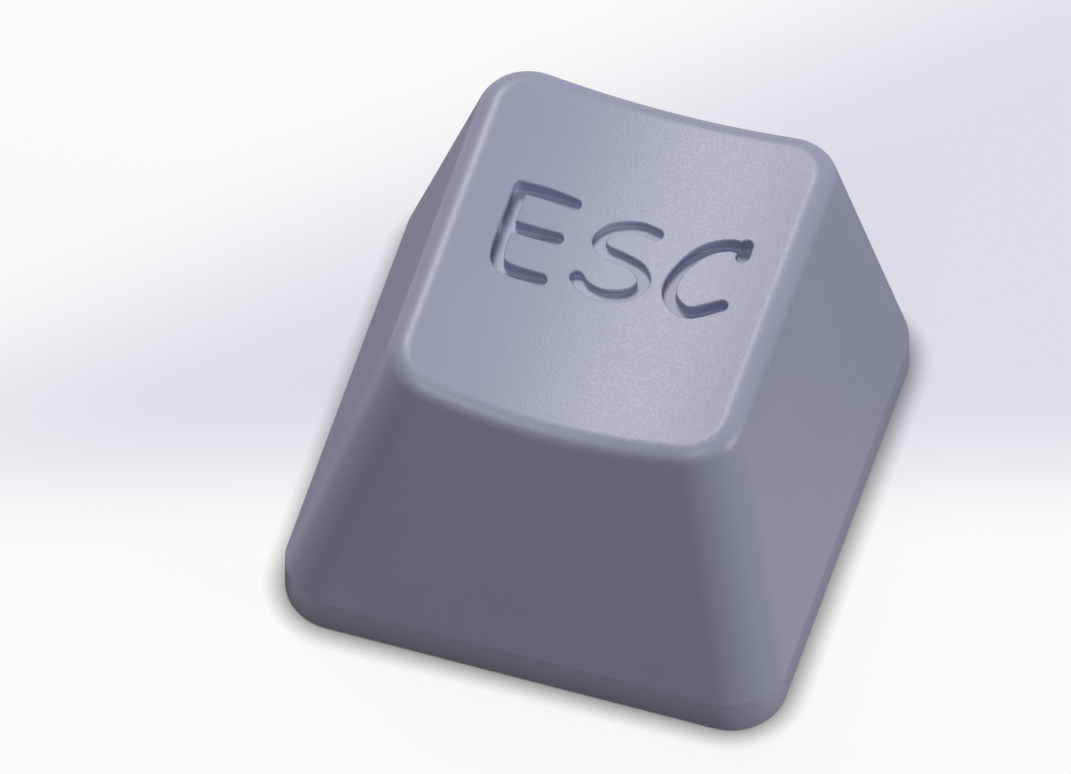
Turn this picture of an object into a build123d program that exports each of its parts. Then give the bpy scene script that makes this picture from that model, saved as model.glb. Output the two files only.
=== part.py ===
from build123d import *

import os
from math import cos, radians, sqrt, tan

# A one-unit keycap, moulded in one piece: a leaning hull with a dished top and a cross socket inside.
# Millimetres. The origin is the middle of the rim's plane, on the axis of the switch stem.
# +X is the user's right, +Y points away from the user, and +Z is up, out of the dish.

# Plan of the rim
BASE_WIDTH = 18.0
BASE_DEPTH = 18.0
CORNER_RADIUS = 2.0

# Elevations: an upright skirt, and above it walls that lean in, each by its own angle
SKIRT_HEIGHT = 1.5
SIDE_LEAN_DEG = 16.5
FRONT_LEAN_DEG = 23.2
BACK_LEAN_DEG = 0.25

# The dish: a trough that runs from front to back, with a rolled edge all round
DISH_LOW_HEIGHT = 10.0
DISH_RADIUS = 25.0
TOP_EDGE_RADIUS = 0.8

# The moulding: an even wall, a thicker top, and broken edges
WALL = 1.3
TOP_THICKNESS = 1.5
INNER_CORNER_RADIUS = 0.6
CEILING_RADIUS = 0.5
RIM_EDGE_RADIUS = 0.1

# The post and its cross socket, which grips the switch stem
SOCKET_SPAN = 4.1
SOCKET_SLOT_ALONG_X = 1.31
SOCKET_SLOT_ALONG_Y = 1.17
SOCKET_DEPTH = 4.0
SOCKET_LEAD_IN = 0.2
SOCKET_CORNER_RADIUS = 0.15
POST_WALL = 0.7
POST_RECESS = 1.2
POST_EDGE_CHAMFER = 0.2

# The four ribs that tie the post to the walls under the top
RIB_THICKNESS = 0.9
RIB_DROP = 2.6
RIB_EDGE_RADIUS = 0.2

# How high the dish would stand over the rim's edge, which no point of the top can pass
HULL_TOP = DISH_LOW_HEIGHT + DISH_RADIUS - sqrt(DISH_RADIUS**2 - (BASE_WIDTH / 2) ** 2)


def leaning_prism(plane, half_width, low_lean_deg, high_lean_deg, inset, half_length):
    """Two opposite leaning walls as one long prism, each wall moved inwards, square to itself, by the inset."""

    def wall_at(lean_deg, height):
        lean = radians(lean_deg)
        return half_width - (height - SKIRT_HEIGHT) * tan(lean) - inset / cos(lean)

    bottom = -SKIRT_HEIGHT
    section = Polyline(
        (-wall_at(low_lean_deg, bottom), bottom),
        (wall_at(high_lean_deg, bottom), bottom),
        (wall_at(high_lean_deg, HULL_TOP), HULL_TOP),
        (-wall_at(low_lean_deg, HULL_TOP), HULL_TOP),
        close=True,
    )
    return extrude(plane * make_face(section), amount=half_length, both=True)


def hull(inset, corner_radius, bottom):
    """The form of the walls, from a height up to over the dish.

    The upright skirt and the leaning walls have corners of one radius, so the two meet in a mitre.
    """
    sides = leaning_prism(Plane.XZ, BASE_WIDTH / 2, SIDE_LEAN_DEG, SIDE_LEAN_DEG, inset, BASE_DEPTH)
    ends = leaning_prism(Plane.YZ, BASE_DEPTH / 2, FRONT_LEAN_DEG, BACK_LEAN_DEG, inset, BASE_WIDTH)
    leaning = sides & ends
    _, leaning_corners, _ = leaning.edges().group_by(Axis.Z)
    leaning = fillet(leaning_corners, corner_radius)
    plan = RectangleRounded(BASE_WIDTH - 2 * inset, BASE_DEPTH - 2 * inset, corner_radius)
    upright = extrude(Pos(0, 0, bottom) * plan, amount=HULL_TOP - bottom)
    return upright & leaning


def dish_bar(depth):
    """The round bar that hollows the dish, grown to reach a depth below the dished surface."""
    bar = Cylinder(DISH_RADIUS + depth, 2 * BASE_DEPTH, rotation=(90, 0, 0))
    return Pos(0, 0, DISH_LOW_HEIGHT + DISH_RADIUS) * bar


def dished_face(shape):
    """The face that the dish's bar has left, which has the largest radius on the cap."""
    return shape.faces().filter_by(GeomType.CYLINDER).sort_by(lambda face: face.radius)[-1]


def lowest_edges(shape):
    """The edges in the lowest level plane of a shape."""
    return shape.edges().group_by(Axis.Z)[0]


def lowest_hole(shape):
    """The edges round the hole in the lowest level face of a shape."""
    return shape.faces().sort_by(Axis.Z)[0].inner_wires()[0].edges()


def outside():
    """The cap as a solid block: the hull, its dish, the rolled edge round the dish and the broken rim."""
    block = hull(0, CORNER_RADIUS, 0) - dish_bar(0)
    block = fillet(dished_face(block).edges(), TOP_EDGE_RADIUS)
    return fillet(lowest_edges(block), RIM_EDGE_RADIUS)


def inside():
    """The room inside the cap: the hull again, one wall further in, under a ceiling parallel to the dish."""
    core = hull(WALL, INNER_CORNER_RADIUS, -SKIRT_HEIGHT) - dish_bar(TOP_THICKNESS)
    return fillet(dished_face(core).edges(), CEILING_RADIUS)


def shell():
    """The walls and the top, with the rim's inner edge broken like its outer one."""
    walls = outside() - inside()
    return fillet(lowest_hole(walls), RIM_EDGE_RADIUS)


def socket():
    """The cross-shaped hole that the stem goes into, with the corners at its four ends rounded."""
    slot_along_x = Rectangle(SOCKET_SPAN, SOCKET_SLOT_ALONG_X)
    slot_along_y = Rectangle(SOCKET_SLOT_ALONG_Y, SOCKET_SPAN)
    cross = slot_along_x + slot_along_y
    end_corners = cross.vertices().sort_by(lambda corner: corner.center().length)[4:]
    cross = fillet(end_corners, SOCKET_CORNER_RADIUS)
    return extrude(Pos(0, 0, POST_RECESS) * cross, amount=SOCKET_DEPTH)


def post():
    """The round post on the stem's axis, recessed from the rim, with its end broken and its socket flared."""
    length = DISH_LOW_HEIGHT - POST_RECESS
    bar = Pos(0, 0, POST_RECESS + length / 2) * Cylinder(SOCKET_SPAN / 2 + POST_WALL, length)
    bar = chamfer(lowest_edges(bar), POST_EDGE_CHAMFER) - socket()
    return chamfer(lowest_hole(bar), SOCKET_LEAD_IN)


def rib_bar(length):
    """A level bar along X through the post, with its two lower edges rounded."""
    bottom = DISH_LOW_HEIGHT - TOP_THICKNESS - RIB_DROP
    height = DISH_LOW_HEIGHT - bottom
    bar = Pos(0, 0, bottom + height / 2) * Box(length, RIB_THICKNESS, height)
    return fillet(lowest_edges(bar).filter_by(Axis.X), RIB_EDGE_RADIUS)


def ribs():
    """Four ribs in a plus, from the post to the walls, that leave the socket free."""
    return rib_bar(BASE_WIDTH) + Rot(0, 0, 90) * rib_bar(BASE_DEPTH) - socket()


def keycap():
    """The whole cap, one solid. The post and the ribs end halfway into the walls and the top that carry them."""
    reach = hull(WALL / 2, INNER_CORNER_RADIUS, 0) - dish_bar(TOP_THICKNESS / 2)
    return shell() + ((post() + ribs()) & reach)


os.makedirs("parts", exist_ok=True)
export_step(keycap(), "parts/keycap.step")
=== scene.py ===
"""The looks of a one-unit keycap: its skin with a cut legend, its post and ribs, and its studio.

The cap's sizes are in millimetres, from the same origin as the solid: the middle of the rim's plane.
"""

from math import atan2, cos, hypot, pi, radians, sin, tan

import bpy
import numpy as np
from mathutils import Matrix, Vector
from mathutils.geometry import delaunay_2d_cdt


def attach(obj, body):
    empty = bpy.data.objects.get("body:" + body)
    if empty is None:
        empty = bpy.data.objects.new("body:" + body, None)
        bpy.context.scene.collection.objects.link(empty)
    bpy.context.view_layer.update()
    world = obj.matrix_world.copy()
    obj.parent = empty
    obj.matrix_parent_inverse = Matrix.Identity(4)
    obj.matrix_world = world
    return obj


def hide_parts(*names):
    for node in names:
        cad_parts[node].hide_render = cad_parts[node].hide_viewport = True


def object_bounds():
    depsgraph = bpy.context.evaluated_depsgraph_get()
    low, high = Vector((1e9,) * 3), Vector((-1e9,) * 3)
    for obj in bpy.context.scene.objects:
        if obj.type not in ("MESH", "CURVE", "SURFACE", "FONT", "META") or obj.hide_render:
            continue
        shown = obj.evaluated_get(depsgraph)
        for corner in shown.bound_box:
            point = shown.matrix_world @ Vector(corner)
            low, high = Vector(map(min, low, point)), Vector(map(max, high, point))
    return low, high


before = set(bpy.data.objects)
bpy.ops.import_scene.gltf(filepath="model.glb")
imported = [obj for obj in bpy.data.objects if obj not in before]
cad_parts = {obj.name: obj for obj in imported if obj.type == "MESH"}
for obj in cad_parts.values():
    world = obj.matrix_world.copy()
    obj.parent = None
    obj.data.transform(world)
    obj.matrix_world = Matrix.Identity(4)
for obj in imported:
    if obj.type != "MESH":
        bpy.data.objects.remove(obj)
cad_low, cad_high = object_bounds()

MM = 0.001
UP = np.array([0.0, 0.0, 1.0])

# The hull, as moulded. Its plan is the solid's own
BASE_WIDTH = (cad_high.x - cad_low.x) / MM
BASE_DEPTH = (cad_high.y - cad_low.y) / MM
CORNER_RADIUS = 2.0
SKIRT_HEIGHT = 1.5
SIDE_LEAN_DEG = 16.5
FRONT_LEAN_DEG = 23.2
BACK_LEAN_DEG = 0.25
DISH_LOW_HEIGHT = 10.0
DISH_RADIUS = 25.0
TOP_EDGE_RADIUS = 0.8
WALL = 1.3
TOP_THICKNESS = 1.5
INNER_CORNER_RADIUS = 0.6
CEILING_RADIUS = 0.5
RIM_EDGE_RADIUS = 0.1

# The post, its cross socket and the ribs
SOCKET_SPAN = 4.1
SOCKET_SLOT_ALONG_X = 1.31
SOCKET_SLOT_ALONG_Y = 1.17
SOCKET_DEPTH = 4.0
SOCKET_LEAD_IN = 0.2
SOCKET_CORNER_RADIUS = 0.15
POST_WALL = 0.7
POST_RECESS = 1.2
POST_EDGE_CHAMFER = 0.2
RIB_THICKNESS = 0.9
RIB_DROP = 2.6
RIB_EDGE_RADIUS = 0.2

# The legend: round-ended strokes with a flat floor, so they are deepest where the dish is highest
STROKE_WIDTH = 0.48
LEGEND_FLOOR_HEIGHT = DISH_LOW_HEIGHT - 0.28
LEGEND_EDGE = 0.035
LEGEND_COVE = 0.03

# How finely the surfaces are stepped. The dish's fill leaves out points nearer than FILL_CLEARANCE to an
# outline, and outline points nearer than MERGE_GAP to each other become one
WALL_STEPS = 40
CORNER_STEPS = 20
RIM_ROWS = 2
WALL_ROWS = 8
ROLL_STEPS = 18
SMALL_ROUND_STEPS = 8
STROKE_END_STEPS = 16
POST_SIDES = 96
DISH_STEP = 0.45
FILL_CLEARANCE = 0.15
STROKE_STEP = 0.09
MERGE_GAP = 0.003
MITRE_HALVINGS = 40
SHARP_ANGLE_DEG = 14

# The plastic: its two faintly different shades, and the sizes and heights of its grain
PBT_SHADES = ("#A4AAC6", "#ABB1CE")
PBT_IOR = 1.55
PBT_ROUGHNESS = (0.36, 0.44)
# The sheen dulls towards a shallow glance: from where, 0 being face on and 1 edge on, and by how much
GLANCE_START = 0.6
GLANCE_DULLING = 0.4
CLOUD_SIZE = 3.0
CLOUD_DETAIL = 3.0
CRATER_SIZE = 0.13
CRATER_DEPTH = 0.002
PEBBLE_SIZE = 0.09
PEBBLE_HEIGHT = 0.004
# The share of the noise's range that most of its values fill
NOISE_SPREAD = (0.3, 0.7)

# The view of the photograph, a parallel one, and the frame that the script reckons in
IMAGE_WIDTH = 1071
IMAGE_HEIGHT = 774
PIXELS_PER_MM = 29.01
VIEW_AZIMUTH_DEG = 17.233
VIEW_ELEVATION_DEG = 56.133
# Where the frame shows the point at which the rim's front and left edges would cross
FRONT_LEFT_PIXEL = (270.30, 614.81)
CAMERA_DISTANCE = 300.0
CAMERA_CLIP = (1.0, 10000.0)

# The paper sweep. Its grey fades in away from the eye, and again from the back left to the right: each
# fade begins and is full at these distances. The second one's direction lies on a slant to the first
PAPER_WHITE = "#FFFFFF"
PAPER_GREY = "#DDE1EC"
SWEEP_FRONT_FADE = (-3.4, 4.0)
SWEEP_LEFT_FADE = (-20.5, -8.0)
SWEEP_SLANT = 0.5
SWEEP_GLOW = 0.9
SWEEP_BOUNCE = "#404042"
SWEEP_REACH = 1000.0
SWEEP_GAP = 0.02
# A painted contact shadow on the paper: within this reach of the cap its colour is scaled by its
# openness, raised to the next value's power and found with this many samples
PAINTED_SHADOW_REACH = 0.88
PAINTED_SHADOW_POWER = 1.5
PAINTED_SHADOW_SAMPLES = 4

# The sky's own light, and what it shows to the eye
SKY_LEVEL = 0.01
SKY_SHOWN = "#F4F5F8"

# The square softboxes: azimuth and elevation, width, and the brightness that each alone gives to white
# paper that faces it
LAMP_DISTANCE = 300.0
LAMPS = {
    "key_back_left": (211, 53, 100.0, 0.435),
    "side_right": (89, 19, 120.0, 0.345),
    "over_front": (0, 63, 130.0, 0.21),
}


class Skin:
    """A mesh in the making: points in millimetres, and faces that name them."""

    def __init__(self):
        self.points = []
        self.faces = []

    def add(self, points):
        """Adds points and gives their numbers."""
        first = len(self.points)
        self.points.extend(np.asarray(p, float) for p in points)
        return list(range(first, len(self.points)))

    def band(self, low, high, turned=False):
        """Quads between two closed loops of as many points."""
        for here in range(len(low)):
            there = (here + 1) % len(low)
            quad = [low[here], low[there], high[there], high[here]]
            self.faces.append(quad[::-1] if turned else quad)

    def made(self, name):
        """The finished mesh as an object, in metres."""
        mesh = bpy.data.meshes.new(name)
        mesh.from_pydata([tuple(p * MM) for p in self.points], [], self.faces)
        mesh.validate()
        piece = bpy.data.objects.new(name, mesh)
        bpy.context.scene.collection.objects.link(piece)
        return piece


def between(start, end, steps):
    """Even steps from one point or value to another, both ends among them."""
    return [start + (end - start) * step / steps for step in range(steps + 1)]


def turned_between(start, end, share):
    """The unit vector at a share of the turn from one unit vector to another."""
    angle = np.arccos(np.clip(start @ end, -1, 1))
    return (sin((1 - share) * angle) * start + sin(share * angle) * end) / sin(angle)


def plan_gap(x, y, half_x, half_y, radius):
    """How far a point in the plan lies outside a rounded rectangle, and the way out of it."""
    over_x = abs(x) - half_x + radius
    over_y = abs(y) - half_y + radius
    if over_x > 0 and over_y > 0:
        reach = hypot(over_x, over_y)
        way_out = (over_x / reach, over_y / reach)
        gap = reach - radius
    else:
        way_out = (1.0, 0.0) if over_x > over_y else (0.0, 1.0)
        gap = max(over_x, over_y) - radius
    return gap, np.array([np.copysign(way_out[0], x), np.copysign(way_out[1], y), 0.0])


def wall_planes(inset):
    """The outward normal and the distance from the origin of the front, right, back and left walls."""
    planes = []
    for bearing_deg, half, lean_deg in (
        (-90, BASE_DEPTH / 2, FRONT_LEAN_DEG),
        (0, BASE_WIDTH / 2, SIDE_LEAN_DEG),
        (90, BASE_DEPTH / 2, BACK_LEAN_DEG),
        (180, BASE_WIDTH / 2, SIDE_LEAN_DEG),
    ):
        bearing = radians(bearing_deg)
        lean = radians(lean_deg)
        out = np.array([cos(bearing), sin(bearing), 0.0])
        normal = out * cos(lean) + UP * sin(lean)
        distance = half * cos(lean) + SKIRT_HEIGHT * sin(lean) - inset
        planes.append((normal, distance))
    return planes


def rising_lines(inset, corner_radius):
    """Straight lines up the walls and round their corners, each a point, a way up and a normal."""
    planes = wall_planes(inset)
    corners = []
    for number, (normal, distance) in enumerate(planes):
        next_normal, next_distance = planes[(number + 1) % len(planes)]
        centre = np.linalg.solve(
            np.array([normal, next_normal, UP]),
            np.array([distance - corner_radius, next_distance - corner_radius, 0.0]),
        )
        rise = np.cross(normal, next_normal)
        corners.append((centre, rise / rise[2]))
    lines = []
    for number, (normal, _) in enumerate(planes):
        next_normal = planes[(number + 1) % len(planes)][0]
        start, start_rise = corners[number - 1]
        end, end_rise = corners[number]
        for share in between(0.0, 1.0, WALL_STEPS):
            foot = start + (end - start) * share + corner_radius * normal
            lines.append((foot, start_rise + (end_rise - start_rise) * share, normal))
        for share in between(0.0, 1.0, CORNER_STEPS)[1:-1]:
            out = turned_between(normal, next_normal, share)
            lines.append((end + corner_radius * out, end_rise, out))
    return lines


def hull_loops(inset, corner_radius, dish_radius, roll_radius, rim_turn):
    """Closed loops of points up the hull, from the rim's flat to the edge of its dished top.

    rim_turn is 1 where the rim's edge rounds inwards, on the outside, and -1 where it rounds outwards.
    """
    half_x = BASE_WIDTH / 2 - inset
    half_y = BASE_DEPTH / 2 - inset
    axis_height = DISH_LOW_HEIGHT + DISH_RADIUS
    ball_reach = dish_radius + roll_radius
    profiles = []
    for foot, rise, normal in rising_lines(inset, corner_radius):
        low, high = -SKIRT_HEIGHT, 2 * SKIRT_HEIGHT
        for _ in range(MITRE_HALVINGS):
            middle = (low + high) / 2
            x, y, _ = foot + rise * (middle - foot[2])
            gap, way_out = plan_gap(x, y, half_x, half_y, corner_radius)
            low, high = (middle, high) if gap > 0 else (low, middle)
        mitre = foot + rise * (low - foot[2])

        ball = foot - roll_radius * normal
        square = rise[0] ** 2 + rise[2] ** 2
        linear = 2 * (ball[0] * rise[0] + (ball[2] - axis_height) * rise[2])
        constant = ball[0] ** 2 + (ball[2] - axis_height) ** 2 - ball_reach**2
        climb = (-linear - (linear**2 - 4 * square * constant) ** 0.5) / (2 * square)
        ball = ball + climb * rise
        to_dish = np.array([-ball[0], 0.0, axis_height - ball[2]]) / ball_reach

        profile = []
        for turn in between(pi / 2, 0.0, SMALL_ROUND_STEPS):
            inwards = rim_turn * RIM_EDGE_RADIUS * (1 - cos(turn))
            height = RIM_EDGE_RADIUS * (1 - sin(turn))
            profile.append(np.array([mitre[0], mitre[1], height]) - inwards * way_out)
        profile += between(profile[-1], mitre, RIM_ROWS)[1:]
        profile += between(mitre, ball + roll_radius * normal, WALL_ROWS)[1:]
        for share in between(0.0, 1.0, ROLL_STEPS)[1:]:
            profile.append(ball + roll_radius * turned_between(normal, to_dish, share))
        profiles.append(profile)
    return [list(loop) for loop in zip(*profiles)]


def smooth_path(points):
    """A smooth curve through given points, stepped finely."""
    points = [np.array(p, float) for p in points]
    points = [2 * points[0] - points[1], *points, 2 * points[-1] - points[-2]]
    path = []
    for before, start, end, after in zip(points, points[1:], points[2:], points[3:]):
        steps = max(2, round(np.linalg.norm(end - start) / STROKE_STEP))
        for share in between(0.0, 1.0, steps)[:-1]:
            path.append(
                start
                + share * (end - before) / 2
                + share**2 * (2 * before - 5 * start + 4 * end - after) / 2
                + share**3 * (3 * start - before - 3 * end + after) / 2
            )
    return path + [points[-2]]


def stroke_outline(path, half_width):
    """The outline of a round-ended stroke of one width, anticlockwise."""
    ways = np.gradient(np.array(path), axis=0)
    headings = [atan2(way[1], way[0]) for way in ways]

    def beside(point, heading):
        return point + half_width * np.array([cos(heading), sin(heading)])

    quarter = pi / 2
    right_side = [beside(p, h - quarter) for p, h in zip(path, headings)]
    left_side = [beside(p, h + quarter) for p, h in zip(path, headings)]
    far_turns = between(-quarter, quarter, STROKE_END_STEPS)
    near_turns = between(quarter, 3 * quarter, STROKE_END_STEPS)
    far_end = [beside(path[-1], headings[-1] + turn) for turn in far_turns]
    near_end = [beside(path[0], headings[0] + turn) for turn in near_turns]
    return right_side + far_end[1:-1] + left_side[::-1] + near_end[1:-1]


def legend_paths():
    """The middle lines of the strokes of a plain ESC, the key's function, in the plan of the dish."""
    letter_e = [
        [
            (-3.97, 3.93),
            (-3.97, 3.0),
            (-3.98, 2.0),
            (-3.95, 1.15),
            (-3.75, 0.72),
            (-3.3, 0.58),
            (-2.24, 0.60),
        ],
        [(-3.97, 3.93), (-3.0, 4.0), (-2.03, 3.93)],
        [(-3.97, 2.32), (-3.1, 2.34), (-2.2, 2.39)],
    ]
    letter_s = [
        [
            (1.03, 3.60),
            (0.35, 3.69),
            (-0.45, 3.38),
            (-0.80, 2.85),
            (-0.50, 2.46),
            (0.15, 2.32),
            (0.85, 2.08),
            (1.19, 1.55),
            (0.85, 0.95),
            (0.0, 0.66),
            (-0.70, 0.80),
            (-1.10, 1.12),
        ]
    ]
    letter_c = [
        [(4.20, 3.86), (4.21, 3.38)],
        [
            (4.18, 3.72),
            (3.62, 3.76),
            (2.95, 3.45),
            (2.42, 2.80),
            (2.13, 1.95),
            (2.20, 1.30),
            (2.68, 0.82),
            (3.20, 0.76),
            (4.09, 1.24),
        ],
    ]
    return [smooth_path(points) for points in letter_e + letter_s + letter_c]


def dish_height(x, dish_radius):
    """The height of the dish, or of the ceiling parallel to it, at a place across the cap."""
    return DISH_LOW_HEIGHT + DISH_RADIUS - (dish_radius**2 - x**2) ** 0.5


def filled(edge_points, outlines):
    """Triangles that fill a closed edge in the plan and follow closed outlines inside it.

    Gives the corners in the plan, the edge point that each corner is or None, the triangles, and the
    numbers of the outlines that each triangle lies in.
    """
    corners = [Vector(p[:2]) for p in edge_points]
    loops = [list(range(len(corners)))]
    for outline in outlines:
        loops.append(list(range(len(corners), len(corners) + len(outline))))
        corners += [Vector(p) for p in outline]
    drawn = np.array(corners)
    low, high = drawn.min(0), drawn.max(0)
    for x in np.arange(low[0], high[0], DISH_STEP):
        for y in np.arange(low[1], high[1], DISH_STEP):
            if np.hypot(*(drawn - (x, y)).T).min() > FILL_CLEARANCE:
                corners.append(Vector((x, y)))
    places, _, triangles, sources, _, inside = delaunay_2d_cdt(corners, [], loops, 0, MERGE_GAP, True)
    on_edge = [next((s for s in source if s < len(edge_points)), None) for source in sources]
    kept = []
    for triangle, within in zip(triangles, inside):
        if 0 in within:
            kept.append((triangle, {number - 1 for number in within if number > 0}))
    return places, on_edge, kept


def fill_ceiling(skin, edge):
    """The underside of the top, parallel to the dish."""
    places, on_edge, triangles = filled([skin.points[number] for number in edge], [])
    ceiling_radius = DISH_RADIUS + TOP_THICKNESS
    numbers = []
    for place, at in zip(places, on_edge):
        if at is None:
            numbers += skin.add([(place.x, place.y, dish_height(place.x, ceiling_radius))])
        else:
            numbers.append(edge[at])
    skin.faces += [[numbers[corner] for corner in triangle[::-1]] for triangle, _ in triangles]


def fill_dish(skin, edge):
    """The dish and the legend cut into it, with broken edges, upright walls, coves and a flat floor."""
    half = STROKE_WIDTH / 2
    paths = legend_paths()
    reaches = (half + LEGEND_EDGE, half, half - LEGEND_COVE)
    outlines = [stroke_outline(path, reach) for reach in reaches for path in paths]
    places, on_edge, triangles = filled([skin.points[number] for number in edge], outlines)

    def zone(within):
        """0 on the dish, 1 on the broken edge, 2 on the cove and 3 on the floor."""
        return max((number // len(paths) for number in within), default=-1) + 1

    zones_at = [set() for _ in places]
    for triangle, within in triangles:
        for corner in triangle:
            zones_at[corner].add(zone(within))
    levels = {}

    def point(corner, of_zone):
        """The number of the point that a corner of the plan has in a zone."""
        lies_on = min(zones_at[corner]) if of_zone < 2 else max(zones_at[corner])
        if of_zone == 1 and lies_on == 1:
            level = "brink"
        elif of_zone == 2 and lies_on == 2:
            level = "foot"
        else:
            level = "dish" if of_zone < 2 else "floor"
        if (corner, level) not in levels:
            x, y = places[corner]
            surface = dish_height(x, DISH_RADIUS)
            height = {
                "dish": surface,
                "brink": surface - LEGEND_EDGE,
                "foot": LEGEND_FLOOR_HEIGHT + LEGEND_COVE,
                "floor": LEGEND_FLOOR_HEIGHT,
            }[level]
            at = on_edge[corner]
            levels[corner, level] = skin.add([(x, y, height)])[0] if at is None else edge[at]
        return levels[corner, level]

    outer_sides = {}
    inner_sides = set()
    for triangle, within in triangles:
        here = zone(within)
        skin.faces.append([point(corner, here) for corner in triangle])
        for start, end in zip(triangle, triangle[1:] + triangle[:1]):
            if here < 2:
                outer_sides[start, end] = here
            else:
                inner_sides.add((end, start))
    for start, end in outer_sides:
        if (start, end) in inner_sides:
            skin.faces.append([point(end, 1), point(start, 1), point(start, 2), point(end, 2)])


def moulded_skin():
    """The cap's outer and inner skins, joined round the rim."""
    skin = Skin()
    ceiling_radius = DISH_RADIUS + TOP_THICKNESS
    outer_loops = hull_loops(0, CORNER_RADIUS, DISH_RADIUS, TOP_EDGE_RADIUS, 1)
    inner_loops = hull_loops(WALL, INNER_CORNER_RADIUS, ceiling_radius, CEILING_RADIUS, -1)
    outside = [skin.add(loop) for loop in outer_loops]
    inside = [skin.add(loop) for loop in inner_loops]
    for low, high in zip(outside, outside[1:]):
        skin.band(low, high)
    for low, high in zip(inside, inside[1:]):
        skin.band(low, high, turned=True)
    skin.band(outside[0], inside[0], turned=True)
    fill_dish(skin, outside[-1])
    fill_ceiling(skin, inside[-1])
    return skin.made("keycap_moulding")


def stacked(name, loops):
    """A closed solid through loops of as many points, one above the other."""
    skin = Skin()
    numbers = [skin.add(loop) for loop in loops]
    for low, high in zip(numbers, numbers[1:]):
        skin.band(low, high)
    skin.faces.append(numbers[0][::-1])
    skin.faces.append(numbers[-1])
    return skin.made(name)


def post_solid():
    """The round post up into the top, with its end broken."""
    radius = SOCKET_SPAN / 2 + POST_WALL

    def ring(reach, height):
        turns = between(0.0, 2 * pi, POST_SIDES)[:-1]
        return [(reach * cos(turn), reach * sin(turn), height) for turn in turns]

    return stacked(
        "post",
        [
            ring(radius - POST_EDGE_CHAMFER, POST_RECESS),
            ring(radius, POST_RECESS + POST_EDGE_CHAMFER),
            ring(radius, DISH_LOW_HEIGHT - TOP_THICKNESS / 2),
        ],
    )


def wall_reach(half, lean_deg, height):
    """How far from the middle the core of a leaning wall stands at a height."""
    lean = radians(lean_deg)
    return half - (height - SKIRT_HEIGHT) * tan(lean) - WALL / 2 / cos(lean)


def rib_solid(name, turned, low_wall, high_wall):
    """A level rib through the post, from wall to wall. A wall is its reach at the rim and its lean."""
    half = RIB_THICKNESS / 2
    bottom = DISH_LOW_HEIGHT - TOP_THICKNESS - RIB_DROP
    top = DISH_LOW_HEIGHT - TOP_THICKNESS / 2
    section = [(half, top), (-half, top)]
    rounds = (
        (-1, between(pi, 3 * pi / 2, SMALL_ROUND_STEPS)),
        (1, between(-pi / 2, 0.0, SMALL_ROUND_STEPS)),
    )
    for side, turns in rounds:
        for turn in turns:
            across = side * (half - RIB_EDGE_RADIUS) + RIB_EDGE_RADIUS * cos(turn)
            section.append((across, bottom + RIB_EDGE_RADIUS * (1 + sin(turn))))

    def end(side, wall):
        loop = []
        for across, height in section:
            along = side * wall_reach(*wall, height)
            loop.append((-across, along, height) if turned else (along, across, height))
        return loop

    return stacked(name, [end(-1, low_wall), end(1, high_wall)])


def socket_solid():
    """The cross that is cut out of the post, flared towards its mouth."""
    half_span = SOCKET_SPAN / 2
    half_slots = (SOCKET_SLOT_ALONG_X / 2, SOCKET_SLOT_ALONG_Y / 2)

    def cross(grown, height):
        loop = []
        radius = SOCKET_CORNER_RADIUS + grown
        for quarter in range(4):
            across = half_slots[quarter % 2]
            beside = half_slots[1 - quarter % 2]
            arm = []
            for side, first in ((-1, -pi / 2), (1, 0.0)):
                for turn in between(first, first + pi / 2, SMALL_ROUND_STEPS):
                    x = half_span + grown - radius + radius * cos(turn)
                    y = side * (across + grown - radius) + radius * sin(turn)
                    arm.append((x, y))
            arm.append((beside + grown, across + grown))
            swing = quarter * pi / 2
            for x, y in arm:
                loop.append((x * cos(swing) - y * sin(swing), x * sin(swing) + y * cos(swing), height))
        return loop

    return stacked(
        "socket",
        [
            cross(2 * SOCKET_LEAD_IN, POST_RECESS - SOCKET_LEAD_IN),
            cross(0.0, POST_RECESS + SOCKET_LEAD_IN),
            cross(0.0, POST_RECESS + SOCKET_DEPTH),
        ],
    )


def settle(piece):
    """Puts what a piece's modifiers make of it into its mesh."""
    bpy.context.view_layer.update()
    graph = bpy.context.evaluated_depsgraph_get()
    piece.data = bpy.data.meshes.new_from_object(piece.evaluated_get(graph))
    piece.modifiers.clear()


def keycap_moulding():
    """The whole cap as one closed mesh."""
    piece = moulded_skin()
    side_wall = (BASE_WIDTH / 2, SIDE_LEAN_DEG)
    front_wall = (BASE_DEPTH / 2, FRONT_LEAN_DEG)
    back_wall = (BASE_DEPTH / 2, BACK_LEAN_DEG)
    tools = [
        (post_solid(), "UNION"),
        (rib_solid("rib_along_x", False, side_wall, side_wall), "UNION"),
        (rib_solid("rib_along_y", True, front_wall, back_wall), "UNION"),
        (socket_solid(), "DIFFERENCE"),
    ]
    for tool, operation in tools:
        step = piece.modifiers.new(tool.name, "BOOLEAN")
        step.object = tool
        step.operation = operation
        step.solver = "EXACT"
    settle(piece)
    for tool, _ in tools:
        bpy.data.objects.remove(tool)
    piece.data.shade_smooth()
    piece.data.set_sharp_from_angle(angle=radians(SHARP_ANGLE_DEG))
    even = piece.modifiers.new("even_shading", "WEIGHTED_NORMAL")
    even.keep_sharp = True
    settle(piece)
    return piece


def linear_colour(hexa):
    """An sRGB colour such as #A9AEC4 as the linear values that Blender takes."""
    shares = [int(hexa[place : place + 2], 16) / 255 for place in (1, 3, 5)]
    return tuple(s / 12.92 if s <= 0.04045 else ((s + 0.055) / 1.055) ** 2.4 for s in shares) + (1.0,)


def node(tree, kind, inputs=None, **settings):
    """Adds a node with its settings. An input is a value, or another node's output to link."""
    added = tree.nodes.new(kind)
    for name, value in settings.items():
        setattr(added, name, value)
    for name, value in (inputs or {}).items():
        if isinstance(value, bpy.types.NodeSocket):
            tree.links.new(value, added.inputs[name])
        else:
            added.inputs[name].default_value = value
    return added


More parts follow.
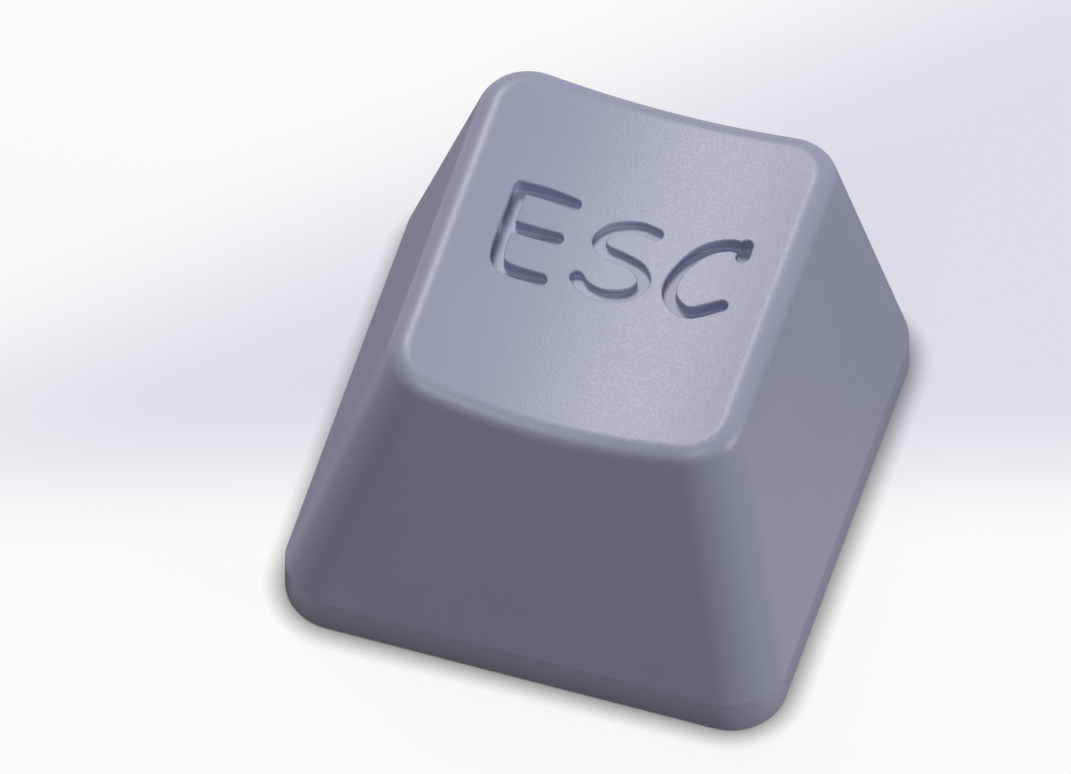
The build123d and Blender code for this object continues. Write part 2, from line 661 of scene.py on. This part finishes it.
def scale_for(size):
    """The texture scale, on coordinates in metres, at which a pattern's features have a size."""
    return 1 / (size * MM)


def moulded_pbt():
    """PBT, injection moulded against a spark-eroded cavity.

    The eye gets an even satin with a fine pebbled grain that breaks up the highlight. The colour is in
    the plastic, so it is the same in the cut legend.
    """
    material = bpy.data.materials.new("moulded_pbt")
    material.use_nodes = True
    tree = material.node_tree
    shader = tree.nodes["Principled BSDF"]
    place = node(tree, "ShaderNodeTexCoord").outputs["Object"]
    # Spark erosion leaves craters about a tenth of a millimetre across, and a finer pebbling over them
    craters = node(
        tree,
        "ShaderNodeTexVoronoi",
        {"Vector": place, "Scale": scale_for(CRATER_SIZE)},
        feature="F1",
    )
    pebbles = node(
        tree,
        "ShaderNodeTexNoise",
        {"Vector": place, "Scale": scale_for(PEBBLE_SIZE)},
    )
    # The melt's flow leaves faint clouds a few millimetres across
    clouds = node(
        tree,
        "ShaderNodeTexNoise",
        {"Vector": place, "Scale": scale_for(CLOUD_SIZE), "Detail": CLOUD_DETAIL},
    )
    shades = node(tree, "ShaderNodeMix", {"Factor": clouds.outputs["Fac"]}, data_type="RGBA")
    shades.inputs["A"].default_value = linear_colour(PBT_SHADES[0])
    shades.inputs["B"].default_value = linear_colour(PBT_SHADES[1])
    tree.links.new(shades.outputs["Result"], shader.inputs["Base Color"])
    gloss = node(
        tree,
        "ShaderNodeMapRange",
        {
            "Value": pebbles.outputs["Fac"],
            "From Min": NOISE_SPREAD[0],
            "From Max": NOISE_SPREAD[1],
            "To Min": PBT_ROUGHNESS[0],
            "To Max": PBT_ROUGHNESS[1],
        },
    )
    # At a shallow glance the pebbles hide each other's bright sides, so the sheen is duller there
    glance = node(tree, "ShaderNodeLayerWeight")
    dulling = node(
        tree,
        "ShaderNodeMapRange",
        {"Value": glance.outputs["Facing"], "From Min": GLANCE_START, "To Max": GLANCE_DULLING},
        interpolation_type="SMOOTHSTEP",
    )
    dulled = node(
        tree,
        "ShaderNodeMath",
        {0: gloss.outputs["Result"], 1: dulling.outputs["Result"]},
        operation="ADD",
    )
    tree.links.new(dulled.outputs[0], shader.inputs["Roughness"])
    coarse = node(
        tree,
        "ShaderNodeBump",
        {"Height": craters.outputs["Distance"], "Distance": CRATER_DEPTH * MM},
    )
    fine = node(
        tree,
        "ShaderNodeBump",
        {
            "Height": pebbles.outputs["Fac"],
            "Normal": coarse.outputs["Normal"],
            "Distance": PEBBLE_HEIGHT * MM,
        },
    )
    tree.links.new(fine.outputs["Normal"], shader.inputs["Normal"])
    shader.inputs["IOR"].default_value = PBT_IOR
    return material


def seen_directly(tree):
    """1 where a ray comes straight from the eye, or by way of a mirror or glass, and 0 elsewhere."""
    path = node(tree, "ShaderNodeLightPath")
    direct = path.outputs["Is Camera Ray"]
    for name in ("Is Glossy Ray", "Is Transmission Ray"):
        either = node(tree, "ShaderNodeMath", {0: direct, 1: path.outputs[name]}, operation="MAXIMUM")
        direct = either.outputs[0]
    return direct


def along(tree, place, way):
    """How far a place lies along a direction in the plan, in metres."""
    aimed = node(tree, "ShaderNodeVectorMath", {0: place, 1: (*way, 0.0)}, operation="DOT_PRODUCT")
    return aimed.outputs["Value"]


def faded(tree, value, start, end):
    """0 up to one distance and 1 from another, with a soft change between them."""
    fade = node(
        tree,
        "ShaderNodeMapRange",
        {"Value": value, "From Min": start * MM, "From Max": end * MM},
        interpolation_type="SMOOTHSTEP",
    )
    return fade.outputs["Result"]


def graded_sweep():
    """A matt paper sweep, white in front and at the back left, and a cool grey between and at the right.

    It keeps the cap's shadow, has a painted contact shadow that darkens its colour where the cap stands
    on it, and gives little light back.
    """
    material = bpy.data.materials.new("graded_paper_sweep")
    material.use_nodes = True
    tree = material.node_tree
    tree.nodes.remove(tree.nodes["Principled BSDF"])
    place = node(tree, "ShaderNodeTexCoord").outputs["Object"]
    azimuth = radians(VIEW_AZIMUTH_DEG)
    right = (cos(azimuth), sin(azimuth))
    away = (-sin(azimuth), cos(azimuth))
    slant = (SWEEP_SLANT * right[0] - away[0], SWEEP_SLANT * right[1] - away[1])
    past_front = faded(tree, along(tree, place, away), *SWEEP_FRONT_FADE)
    past_left = faded(tree, along(tree, place, slant), *SWEEP_LEFT_FADE)
    grey = node(tree, "ShaderNodeMath", {0: past_front, 1: past_left}, operation="MULTIPLY").outputs[0]
    paper = node(tree, "ShaderNodeMix", {"Factor": grey}, data_type="RGBA")
    paper.inputs["A"].default_value = linear_colour(PAPER_WHITE)
    paper.inputs["B"].default_value = linear_colour(PAPER_GREY)
    # Painted shadow: the paper's own colour is darkened where the cap's walls close in on it, so the
    # glow shows a contact shadow
    contact = node(
        tree,
        "ShaderNodeAmbientOcclusion",
        {"Distance": PAINTED_SHADOW_REACH * MM},
        samples=PAINTED_SHADOW_SAMPLES,
    )
    painted_shadow_openness = node(
        tree,
        "ShaderNodeMath",
        {0: contact.outputs["AO"], 1: PAINTED_SHADOW_POWER},
        operation="POWER",
    )
    paper_with_painted_shadow = node(
        tree,
        "ShaderNodeVectorMath",
        {0: paper.outputs["Result"], "Scale": painted_shadow_openness.outputs[0]},
        operation="SCALE",
    )
    painted_shadow_colour = paper_with_painted_shadow.outputs["Vector"]
    lit = node(tree, "ShaderNodeBsdfDiffuse", {"Color": painted_shadow_colour})
    glow = node(tree, "ShaderNodeEmission", {"Color": painted_shadow_colour})
    shown = node(tree, "ShaderNodeMixShader", {"Fac": SWEEP_GLOW})
    tree.links.new(lit.outputs[0], shown.inputs[1])
    tree.links.new(glow.outputs[0], shown.inputs[2])
    given_back = node(tree, "ShaderNodeBsdfDiffuse", {"Color": linear_colour(SWEEP_BOUNCE)})
    surface = node(tree, "ShaderNodeMixShader", {"Fac": seen_directly(tree)})
    tree.links.new(given_back.outputs[0], surface.inputs[1])
    tree.links.new(shown.outputs[0], surface.inputs[2])
    tree.links.new(surface.outputs[0], tree.nodes["Material Output"].inputs["Surface"])
    return material


def add_floor():
    """The sweep, a hair below the rim so that the two don't lie in one plane."""
    reach = SWEEP_REACH * MM
    drop = -SWEEP_GAP * MM
    signs = ((-1, -1), (1, -1), (1, 1), (-1, 1))
    corners = [(x * reach, y * reach, drop) for x, y in signs]
    mesh = bpy.data.meshes.new("floor")
    mesh.from_pydata(corners, [], [(0, 1, 2, 3)])
    floor = bpy.data.objects.new("floor", mesh)
    bpy.context.scene.collection.objects.link(floor)
    floor.data.materials.append(graded_sweep())


def add_sky():
    """An even, neutral sky that gives a little light from all round and shows pale."""
    world = bpy.data.worlds.new("studio")
    bpy.context.scene.world = world
    world.use_nodes = True
    tree = world.node_tree
    tone = node(tree, "ShaderNodeMix", {"Factor": seen_directly(tree)}, data_type="RGBA")
    tone.inputs["A"].default_value = (SKY_LEVEL, SKY_LEVEL, SKY_LEVEL, 1.0)
    tone.inputs["B"].default_value = linear_colour(SKY_SHOWN)
    tree.links.new(tone.outputs["Result"], tree.nodes["Background"].inputs["Color"])


def direction(azimuth_deg, elevation_deg):
    """The way from the cap to a lamp or the camera: azimuth 0 is in front of it and 90 to its right."""
    azimuth, elevation = radians(azimuth_deg), radians(elevation_deg)
    return Vector((sin(azimuth) * cos(elevation), -cos(azimuth) * cos(elevation), sin(elevation)))


def add_softbox(name, azimuth_deg, elevation_deg, width, level):
    """A square softbox. level is the brightness that it alone gives to white paper that faces it."""
    distance = LAMP_DISTANCE * MM
    lamp = bpy.data.lights.new(name, "AREA")
    lamp.shape = "SQUARE"
    lamp.size = width * MM
    # A lamp of power P gives paper at a distance d the light P / (pi d^2), and paper shows 1 / pi of it
    lamp.energy = level * pi**2 * distance**2
    holder = bpy.data.objects.new(name, lamp)
    way = direction(azimuth_deg, elevation_deg)
    holder.location = way * distance
    holder.rotation_mode = "QUATERNION"
    holder.rotation_quaternion = way.to_track_quat("Z", "Y")
    bpy.context.scene.collection.objects.link(holder)


def add_camera():
    """A parallel view from the photograph's side, framed as it is."""
    azimuth, elevation = radians(VIEW_AZIMUTH_DEG), radians(VIEW_ELEVATION_DEG)
    back = direction(VIEW_AZIMUTH_DEG, VIEW_ELEVATION_DEG)
    right = Vector((cos(azimuth), sin(azimuth), 0))
    up = Vector((-sin(azimuth) * sin(elevation), cos(azimuth) * sin(elevation), cos(elevation)))
    front_left = Vector((-BASE_WIDTH / 2, -BASE_DEPTH / 2, 0))
    to_right = (IMAGE_WIDTH / 2 - FRONT_LEFT_PIXEL[0]) / PIXELS_PER_MM
    to_top = (FRONT_LEFT_PIXEL[1] - IMAGE_HEIGHT / 2) / PIXELS_PER_MM
    lens = bpy.data.cameras.new("camera")
    lens.type = "ORTHO"
    lens.ortho_scale = IMAGE_WIDTH / PIXELS_PER_MM * MM
    lens.clip_start = CAMERA_CLIP[0] * MM
    lens.clip_end = CAMERA_CLIP[1] * MM
    camera = bpy.data.objects.new("camera", lens)
    middle = front_left + right * to_right + up * to_top
    camera.location = (middle + back * CAMERA_DISTANCE) * MM
    camera.rotation_mode = "QUATERNION"
    camera.rotation_quaternion = back.to_track_quat("Z", "Y")
    bpy.context.scene.collection.objects.link(camera)
    bpy.context.scene.camera = camera


add_camera()
keycap = keycap_moulding()
keycap.data.materials.append(moulded_pbt())
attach(keycap, "root")
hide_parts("keycap")

add_floor()
add_sky()
for lamp_name, setting in LAMPS.items():
    add_softbox(lamp_name, *setting)

view = bpy.context.scene.view_settings
view.view_transform = "Standard"
